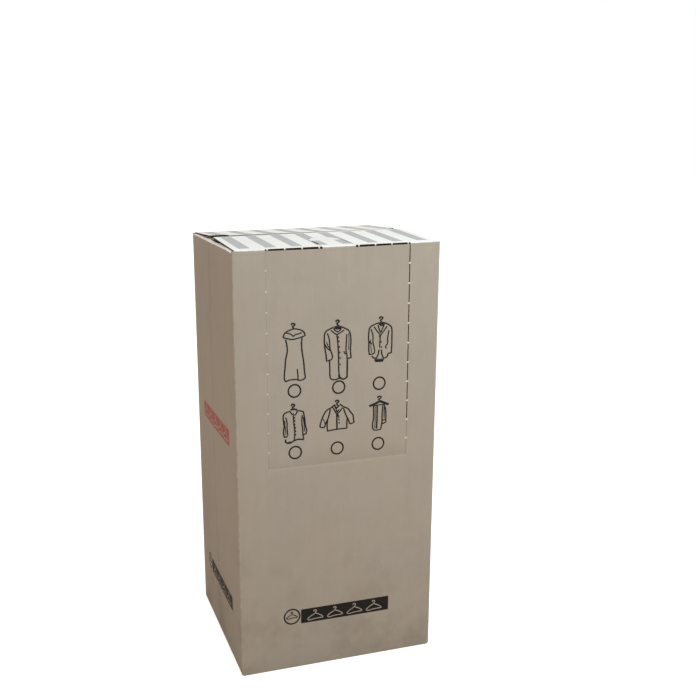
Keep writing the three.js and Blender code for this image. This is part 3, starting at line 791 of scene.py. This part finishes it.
suit = [
    (hook, 1.25, False),
    ([(-3.5, 6.9), (-9.5, 8.9), (-14, 11.4), (-15, 13.6), (-16, 23), (-15.6, 31), (-15.6, 39), (-15, 45.2),
      (-9.4, 44.4)], 1.1, False),
    ([(3.5, 7.3), (8.5, 10), (11.5, 12.6), (12.5, 15.4), (12.8, 26), (12.8, 35), (12.4, 45.2), (8, 45.8)],
     1.1, False),
    ([(-4.0, 8.4), (0, 7.4), (4.0, 8.8)], 2.0, False),
    ([(-2.2, 9.8), (1.8, 10)], 1.6, False),
    ([(-1.2, 21.6), (-2.4, 25.4)], 1.6, False),
    ([(-13.4, 27), (-13, 36), (-12, 43)], 0.6, False),
    ([(-9.5, 11.4), (-6.4, 15.6), (-1.4, 22.6), (3.4, 16.4), (6.6, 11.8)], 1, False),
    ([(-4.5, 9.6), (-3, 14.8), (-1.2, 19.4), (1, 14.2), (3, 9.6)], 1, False),
    ([(-13, 14), (-10.8, 21.2), (-10.4, 31), (-9, 37.4), (-8.6, 43.2), (-9.4, 44.4)], 1, False),
    ([(-15.4, 28.8), (-12, 32.6)], 1, False),
    ([(9, 17), (7.6, 26), (7.2, 33.8), (5, 36.6), (6, 39.6)], 1, False),
    ([(-12, 47), (-9.4, 49.8), (-6, 50.4), (-4, 45.8), (-3, 40)], 1.1, False),
    ([(0, 40.2), (0.6, 46.2), (2.6, 51.2), (5.6, 50.6), (8, 47.8), (8, 45.8)], 1.1, False),
    ([(-1.6, 22.6), (-2, 30), (-2.2, 38)], 1, False),
    ([(-8, 51.4), (-7, 54.8), (1.6, 55), (2.6, 52.2)], 1, False),
    ([(-7.2, 53.2), (1.8, 53.4)], 2.4, False),
]
suit_buttons = [(-1.2, 30.6), (-0.6, 37.2)]
shirt = [
    (hook, 1.25, False),
    ([(-4, 6.8), (0, 6.2), (4.4, 7.6)], 1.5, False),
    ([(-4.5, 8.8), (-2, 13), (0, 11.6)], 1, False),
    ([(4.5, 9), (2, 13.4), (-0.6, 14)], 1, False),
    ([(-4.4, 8.6), (-9.5, 9.9), (-12.4, 12.2), (-13, 18.6), (-12, 26.6), (-13, 34.4), (-12, 41), (-7.6, 40)],
     1.1, False),
    ([(4.6, 8.6), (9.5, 9.5), (12, 10.8), (13.5, 19), (14.5, 28), (16, 35.6), (15.4, 38.6), (11.6, 40.2)],
     1.1, False),
    ([(-10, 15.8), (-8.4, 23), (-8.4, 31), (-7.6, 39)], 1, False),
    ([(10.5, 14.6), (10, 23.6), (11, 32.6), (11.4, 40.2), (12.4, 46.2)], 1, False),
    ([(-10.4, 43.6), (-10.6, 47.2), (-7.4, 48.8), (-3.4, 48.4), (0.6, 46.2), (4.6, 45.2), (8.6, 45.4),
      (12.4, 46.2)], 1.2, False),
    ([(-0.6, 14.4), (0, 23.6), (1, 33.8), (0.6, 45.8)], 1, False),
    ([(-11.4, 20), (-10.6, 30), (-10, 38)], 0.7, False),
    ([(11.8, 17), (12.8, 27), (13.4, 36)], 0.7, False),
    ([(-7.4, 48.6), (-3.4, 48.2)], 1.8, False),
]
shirt_buttons = [(0.2, 17.2), (0.5, 21.2), (0.5, 25.8), (1.2, 30), (1.5, 34.4), (1.5, 39)]
jacket = [
    (hook, 1.25, False),
    ([(-3.5, 5), (-8, 8.6), (-13, 11.2), (-16.5, 15.8), (-19, 21.6), (-21.2, 28), (-21.8, 31.8), (-19, 33),
      (-16, 32.8), (-14.4, 27.4), (-12, 22.6), (-10.4, 17), (-9, 10.6)], 1.1, False),
    ([(2.5, 5), (7, 8.8), (12.4, 11.8), (16, 16.8), (19, 21), (19.6, 26.6), (20.4, 30), (18, 31.4),
      (15, 31.6), (13, 26), (10, 19.6), (7, 10.4)], 1.1, False),
    ([(-12.4, 23.8), (-13, 30.6), (-12.6, 38.2), (-8, 37.6), (-1, 37.2), (5, 37), (11.4, 37), (11.4, 30),
      (12, 23)], 1.1, False),
    ([(-6.5, 7.8), (-3.5, 13.4), (-1, 17.8), (3, 14), (5.6, 9.8)], 1, False),
    ([(-4, 5.6), (-2, 10.4), (-0.4, 8.8), (2, 6.6)], 1.3, False),
    ([(-1, 17.8), (-1, 27.8), (-0.8, 37.2)], 1.1, False),
    ([(-2.6, 10), (-0.6, 15.4), (1.8, 11.6)], 0.9, False),
    ([(-0.6, 17.6), (0.4, 21)], 1.9, False),
    ([(-17.6, 22), (-15.8, 28)], 0.6, False),
]
jacket_buttons = [(0.6, 21.8), (0.9, 25), (1, 29)]
trousers = [
    (hook, 1.25, False),
    ([(-12.6, 11.1), (-7.2, 9.4), (-2.2, 7.2), (0, 6.4), (3.8, 8.2), (10.4, 11.4)], 2.0, False),
    ([(-7.4, 11.6), (0, 10.6), (6, 11.4)], 1, False),
    ([(-7.7, 11.4), (-7.2, 24.4), (-8, 40.2), (-6.2, 42), (1.3, 42), (2.8, 33.2), (2.8, 25), (3.4, 12)],
     1.1, False),
    ([(-3.2, 11), (-3.2, 25), (-3.7, 40.6)], 1.1, False),
    ([(5.3, 12), (6.8, 16.6), (7.3, 27.6), (7.3, 33.4), (3.2, 35.2)], 1.1, False),
    ([(3.4, 30.8), (6.8, 29.8)], 1, False),
    ([(5.2, 14), (5.2, 28)], 0.7, False),
    ([(-5.6, 12), (-5.4, 26), (-5.9, 40)], 0.6, False),
]


def ink_on(name, parts, place):
    """Joins flat drawings in wall coordinates (right, up) and lays them on a wall as a skin of ink."""
    ink = joined(name, parts)
    for vertex in ink.data.vertices:
        vertex.co.y *= INK_HALF / PEN
    ink.data.transform(place)
    belly_out(ink)
    return ink


def drawn_at(shape, buttons, x, z, wide, high):
    """A garment's drawing at its place on the wall, with its buttons as short thick dashes."""
    marks = [([(u, v), (u + 1.5, v)], 1.35, False) for u, v in buttons]
    lines = [(points, width * PEN / wide, closed) for points, width, closed in shape + marks]
    sketch = drawing("garment", lines)
    sketch.data.transform(Matrix.Translation((x, 0, z)) @ Matrix.Diagonal((wide, wide, high, 1)))
    return sketch


def ring_at(x, z):
    circle = ring(0.0178, 0.0046)
    circle.data.transform(Matrix.Translation((x, 0, z)))
    return circle


front_wall = Matrix.Translation((0, -DEPTH / 2 - INK_LIFT, 0))
garments = [
    drawn_at(dress, [], -0.1315, 1.0510, 0.00238, 0.00221),
    drawn_at(coat, coat_buttons, -0.0039, 1.0515, 0.00241, 0.00227),
    drawn_at(suit, suit_buttons, 0.1258, 1.0516, 0.00246, 0.00232),
    drawn_at(shirt, shirt_buttons, -0.1342, 0.8229, 0.00233, 0.00230),
    drawn_at(jacket, jacket_buttons, -0.0047, 0.8224, 0.00243, 0.00230),
    drawn_at(trousers, [], 0.1236, 0.8221, 0.00260, 0.00237),
]
rings = [ring_at(x, z) for x, z in ((-0.1315, 0.8609), (-0.0021, 0.8605), (0.1204, 0.8605),
                                    (-0.1306, 0.6808), (-0.0057, 0.6807), (0.1194, 0.6804))]
door_ink = ink_on("door_drawings", garments + rings, front_wall)


def ink_material(name, colour):
    """Flexo ink: even, slightly starved where the paper is rough."""
    made = bpy.data.materials.new(name)
    made.use_nodes = True
    tree = made.node_tree
    shader = tree.nodes["Principled BSDF"]
    spot = add_node(tree, "ShaderNodeTexCoord").outputs["Object"]
    grain = noise(tree, spot, 800.0, 3.0, 0.6)
    cloud = noise(tree, spot, 40.0, 3.0, 0.6)
    starved = smooth(tree, cloud, 0.35, 0.7, 0.03, 0.2)
    starved = maths(tree, "MULTIPLY", smooth(tree, grain, 0.5, 0.75), starved)
    tree.links.new(mixed(tree, starved, colour, srgb(120, 108, 96)), shader.inputs["Base Color"])
    bump = add_node(tree, "ShaderNodeBump", sockets={"Strength": 0.3, "Distance": 0.0001, "Height": grain})
    tree.links.new(bump.outputs[0], shader.inputs["Normal"])
    shader.inputs["Roughness"].default_value = 0.5
    shader.inputs["Specular IOR Level"].default_value = 0.3
    return made


black_ink = ink_material("black_ink", srgb(20, 14, 11))
red_ink = ink_material("red_ink", srgb(170, 84, 74))
hanger_shape = [
    ([(-2.0, 1.7), (-1.7, 0.2), (0, 0), (1.2, 1.2), (0.3, 2.4), (0, 4)], 1, False),
    ([(0, 4), (-9, 9.6), (-9.6, 11), (0, 11.2), (9.6, 11), (9, 9.6)], 1, True),
]


def bar_of(width, height, x, z):
    """A solid printed bar, in squares small enough to follow the wall."""
    bpy.ops.mesh.primitive_grid_add(x_subdivisions=max(1, round(width / 0.03)), y_subdivisions=2, size=1)
    bar = bpy.context.object
    bar.data.transform(Matrix.Translation((x, 0, z)) @ Matrix.Rotation(math.pi / 2, 4, "X")
                       @ Matrix.Diagonal((width, height, 1, 1)))
    return bar


def hanger_at(x, z, grid, pen):
    lines = [(points, width * pen / grid, closed) for points, width, closed in hanger_shape]
    sketch = drawing("hanger", lines)
    sketch.data.transform(Matrix.Translation((x, 0, z)) @ Matrix.Scale(grid, 4))
    return sketch


def hanger_bar(x, z):
    """A hanger in a ring beside a dark bar, and the brown hangers that are left out of the bar."""
    badge_x = x - 0.1345
    circle = ring(0.0235, 0.0046)
    circle.data.transform(Matrix.Translation((badge_x, 0, z + 0.004)))
    dark = [bar_of(0.2775, 0.0455, x + 0.032, z), circle, hanger_at(badge_x, z + 0.0185, 0.0017, 0.0034)]
    places = [x + 0.031 + step * 0.062 for step in (-1.5, -0.5, 0.5, 1.5)]
    pale = [hanger_at(place, z + 0.0145, 0.0025, 0.0034) for place in places]
    return dark, pale


def on_wall(turn, out):
    """From wall coordinates to a wall: turned about Z, and moved out to its face."""
    return Matrix.Rotation(turn, 4, "Z") @ Matrix.Translation((0, -out, 0))


scuffs = drawing("door_scuffs", [
    ([(-5, -1186), (-1, -1172), (4, -1160), (9, -1147)], 0.9, False),
    ([(-6, -1168), (0, -1176), (5, -1187)], 0.7, False),
    ([(10, -1152), (13, -1143)], 1.3, False),
    ([(36, -1090), (41, -1087), (45, -1091)], 1.1, False),
    ([(-18, -1066), (2, -1063), (22, -1066)], 0.6, False),
    ([(-226, -1205), (-221, -1198)], 1.0, False),
    ([(-214, -1187), (-210, -1183)], 1.1, False),
    ([(176, -1076), (179, -1072)], 1.0, False),
])
scuffs.data.transform(Matrix.Scale(0.001, 4))
scuffs = ink_on("door_scuffs", [scuffs], front_wall)
scuffed_paper = paper_material("scuffed_white_paper", srgb(190, 182, 170), 0.0, 0.8)

walls = {
    "front": (0.0, DEPTH / 2, -0.0102, 0.1665),
    "right": (math.pi / 2, WIDTH / 2, 0.0, 0.186),
    "rear": (math.pi, DEPTH / 2, 0.0, 0.1665),
    "left": (-math.pi / 2, WIDTH / 2, -0.009, 0.186),
}
prints = [(door_ink, black_ink), (scuffs, scuffed_paper)]
for wall, (turn, out, x, z) in walls.items():
    dark, pale = hanger_bar(x, z)
    prints.append((ink_on(wall + "_bar", dark, on_wall(turn, out + INK_LIFT)), black_ink))
    prints.append((ink_on(wall + "_bar_hangers", pale, on_wall(turn, out + 2 * INK_LIFT)), printed_board))
for wall in ("left", "right"):
    turn, out = walls[wall][:2]
    red = [bar_of(0.335, 0.049, 0.010, 0.714)]
    pale = [hanger_at(0.010 + step * 0.064, 0.7325, 0.0029, 0.0050) for step in (-2, -1, 0, 1, 2)]
    prints.append((ink_on(wall + "_red_band", red, on_wall(turn, out + INK_LIFT)), red_ink))
    band_hangers = ink_on(wall + "_red_band_hangers", pale, on_wall(turn, out + 2 * INK_LIFT))
    prints.append((band_hangers, printed_board))
for ink, material in prints:
    ink.data.materials.clear()
    ink.data.materials.append(material)
    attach(ink, "carton")


# Hanger rail.
# One strip of zinc-plated steel, its long sides turned down and its ends bent up and out, hooked
# over the cut edges of the side walls. The bends are round and the sheared edges a little broken.

rail = copy_of_node("hanger_rail", "hanger_rail_steel")
break_edge = rail.modifiers.new("broken_edge", "BEVEL")
break_edge.width = 0.0002
break_edge.segments = 2
break_edge.limit_method = "ANGLE"
break_edge.angle_limit = math.radians(50)
apply_modifiers(rail)
bpy.ops.object.shade_smooth_by_angle(angle=math.radians(40))


def zinc_material():
    """Bright zinc plating: soft spangle, fine rolling lines and a few dull rubs."""
    made = bpy.data.materials.new("zinc_plated_steel")
    made.use_nodes = True
    tree = made.node_tree
    shader = tree.nodes["Principled BSDF"]
    spot = add_node(tree, "ShaderNodeTexCoord").outputs["Object"]
    cell = add_node(tree, "ShaderNodeTexVoronoi", sockets={"Vector": spot, "Scale": 130.0})
    spangle = add_node(tree, "ShaderNodeSeparateColor", sockets={"Color": cell.outputs["Color"]}).outputs[0]
    lines = noise(tree, spot, 500.0, 2.0, 0.6, (0.03, 1, 1))
    rubs = noise(tree, spot, 25.0, 4.0, 0.65, (0.4, 1, 1))
    tone = maths(tree, "MULTIPLY_ADD", spangle, 0.10, maths(tree, "MULTIPLY_ADD", lines, 0.08, 0.86))
    grey = add_node(tree, "ShaderNodeCombineColor", sockets={"Red": tone, "Green": tone, "Blue": tone})
    colour = mixed(tree, 1.0, srgb(196, 200, 203), grey.outputs[0], "MULTIPLY")
    tree.links.new(colour, shader.inputs["Base Color"])
    dull = maths(tree, "MULTIPLY_ADD", spangle, 0.08, smooth(tree, rubs, 0.35, 0.7, 0.28, 0.46))
    tree.links.new(dull, shader.inputs["Roughness"])
    bump = add_node(tree, "ShaderNodeBump", sockets={"Strength": 0.2, "Distance": 0.0001, "Height": lines})
    tree.links.new(bump.outputs[0], shader.inputs["Normal"])
    shader.inputs["Metallic"].default_value = 1.0
    return made


rail.data.materials.append(zinc_material())
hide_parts("hanger_rail")
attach(rail, "carton")


# Floor, light and camera.
# A plain white floor, a soft key lamp high on the front right, a weak one high behind, a slightly
# warm even surround, and the photograph's viewpoint: a little above and left of the front.

bpy.ops.mesh.primitive_plane_add(size=40, location=(0, 8, -0.0005))
floor = bpy.context.object
floor.name = "floor"
floor_paint = bpy.data.materials.new("white_floor")
floor_paint.use_nodes = True
floor_tree = floor_paint.node_tree
floor_shader = floor_tree.nodes["Principled BSDF"]
floor_shader.inputs["Roughness"].default_value = 0.9
floor_shader.inputs["Specular IOR Level"].default_value = 0.1
glow = add_node(floor_tree, "ShaderNodeEmission", sockets={"Color": (1, 1, 1, 1), "Strength": 0.66})
ray = add_node(floor_tree, "ShaderNodeLightPath").outputs["Is Camera Ray"]
tint = mixed(floor_tree, ray, (0.50, 0.46, 0.41, 1), (0.86, 0.86, 0.86, 1))
floor_tree.links.new(tint, floor_shader.inputs["Base Color"])
lit = add_node(floor_tree, "ShaderNodeAddShader")
seen = add_node(floor_tree, "ShaderNodeMixShader", sockets={"Fac": ray})
floor_tree.links.new(floor_shader.outputs[0], lit.inputs[0])
floor_tree.links.new(glow.outputs[0], lit.inputs[1])
floor_tree.links.new(floor_shader.outputs[0], seen.inputs[1])
floor_tree.links.new(lit.outputs[0], seen.inputs[2])
floor_tree.links.new(seen.outputs[0], floor_tree.nodes["Material Output"].inputs["Surface"])
floor.data.materials.append(floor_paint)

surround = bpy.data.worlds.new("surround")
surround.use_nodes = True
scene.world = surround
world_tree = surround.node_tree
background = world_tree.nodes["Background"]
world_ray = add_node(world_tree, "ShaderNodeLightPath").outputs["Is Camera Ray"]
warm = mixed(world_tree, world_ray, (1.0, 0.925, 0.855, 1), (1, 1, 1, 1))
world_tree.links.new(warm, background.inputs["Color"])
world_tree.links.new(smooth(world_tree, world_ray, 0.0, 1.0, 0.80, 1.0), background.inputs["Strength"])


def soft_lamp(name, place, aim, size, power, colour):
    lamp = bpy.data.lights.new(name, "AREA")
    lamp.color = colour
    lamp.shape = "DISK"
    lamp.size = size
    lamp.energy = power
    made = bpy.data.objects.new(name, lamp)
    scene.collection.objects.link(made)
    made.location = place
    made.rotation_euler = (Vector(aim) - Vector(place)).to_track_quat("-Z", "Y").to_euler()


soft_lamp("key_lamp", (0.8, -2.1, 2.3), (0.05, -0.26, 1.1), 1.2, 33, (0.72, 0.90, 1.0))
soft_lamp("top_lamp", (-0.2, 0.8, 4.0), (0, 0, 1.2), 2.0, 5, (0.80, 0.92, 1.0))

yaw, pitch, roll = (math.radians(a) for a in (16.219, 14.299, -0.788))
forward = Vector((math.sin(yaw) * math.cos(pitch), math.cos(yaw) * math.cos(pitch), -math.sin(pitch)))
level = Vector((math.cos(yaw), -math.sin(yaw), 0))
over = level.cross(forward)
right = level * math.cos(roll) + over * math.sin(roll)
up = over * math.cos(roll) - level * math.sin(roll)
lens = bpy.data.cameras.new("camera")
lens.sensor_width = 36
lens.lens = 47.539
lens.shift_x = 0.10
lens.shift_y = 0.03
lens.clip_end = 100
camera = bpy.data.objects.new("camera", lens)
scene.collection.objects.link(camera)
view = Matrix((right, up, -forward)).transposed().to_4x4()
view.translation = Vector((-0.8566, -2.5980, 1.5480))
camera.matrix_world = view
scene.camera = camera
scene.view_settings.view_transform = "Standard"
